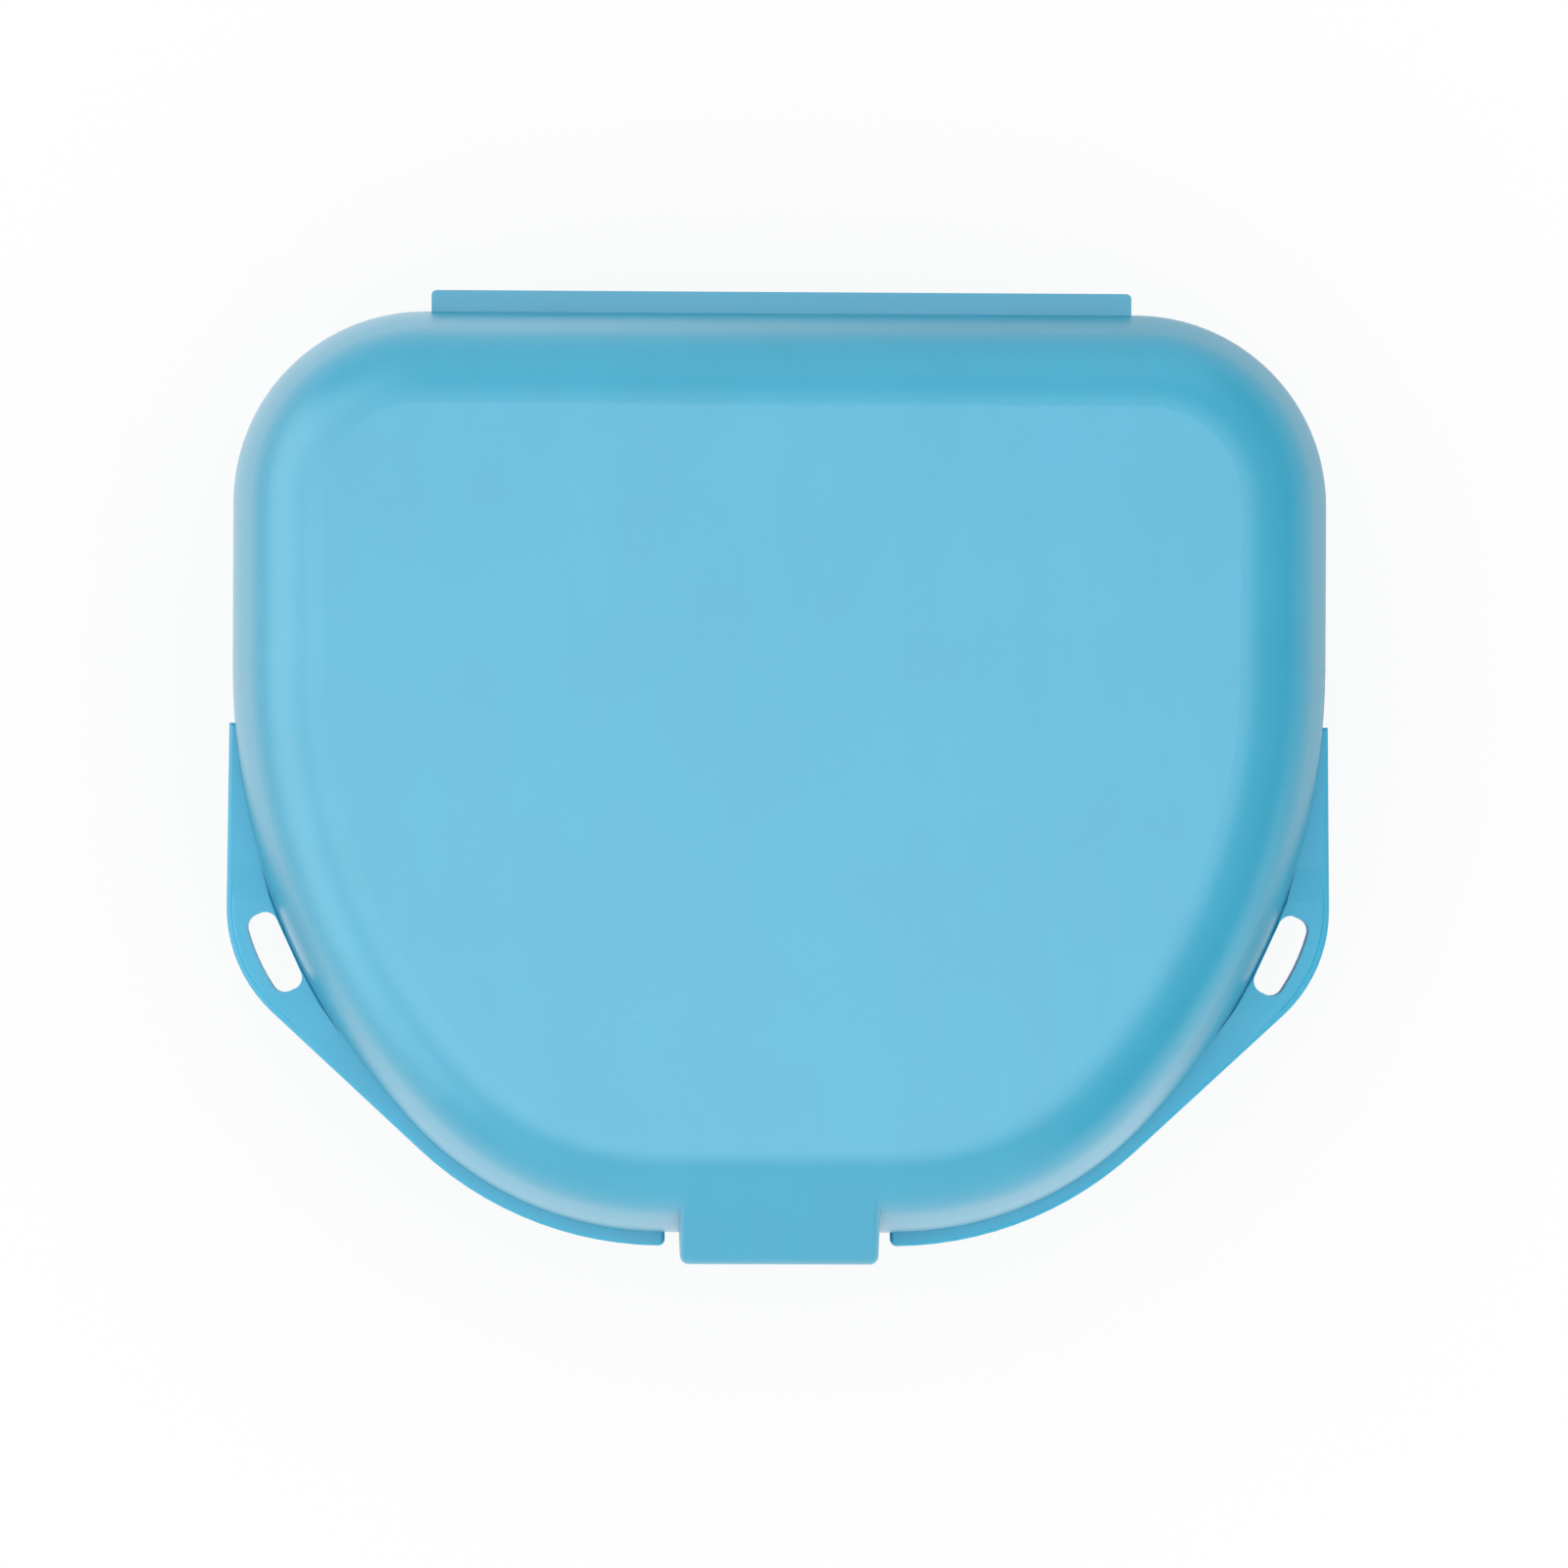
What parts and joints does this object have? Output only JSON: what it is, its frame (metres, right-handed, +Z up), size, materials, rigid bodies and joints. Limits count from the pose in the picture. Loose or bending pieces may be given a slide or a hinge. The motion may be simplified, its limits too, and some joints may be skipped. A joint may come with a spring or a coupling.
{
  "type": "dental retainer case",
  "caption": "D-shaped pocket case for a dental retainer: a tub with a slotted rim and a domed lid with a thumb tab, joined by a pinned hinge at the back.",
  "frame": {"origin": "middle of the footprint, on the surface that the case stands on", "axes": "+Z up through the lid, -Y towards the thumb tab, +Y towards the hinge, X across the two lanyard ears"},
  "size_m": [0.083, 0.0728, 0.0278],
  "materials": {
    "tray_plastic": "satin moulded polypropylene",
    "lid_plastic": "satin moulded polypropylene",
    "pin_steel": "drawn wire"
  },
  "bodies": {
    "base": {"base_tray": "tray_plastic", "hinge_pin": "pin_steel"},
    "lid": {"lid": "lid_plastic"}
  },
  "joints": [
    {"name": "lid_hinge", "type": "hinge", "parent": "base", "child": "lid", "pos_m": [0, 0.03503, 0.01422], "axis": [-1, 0, 0], "range_deg": [0, 180]}
  ]
}
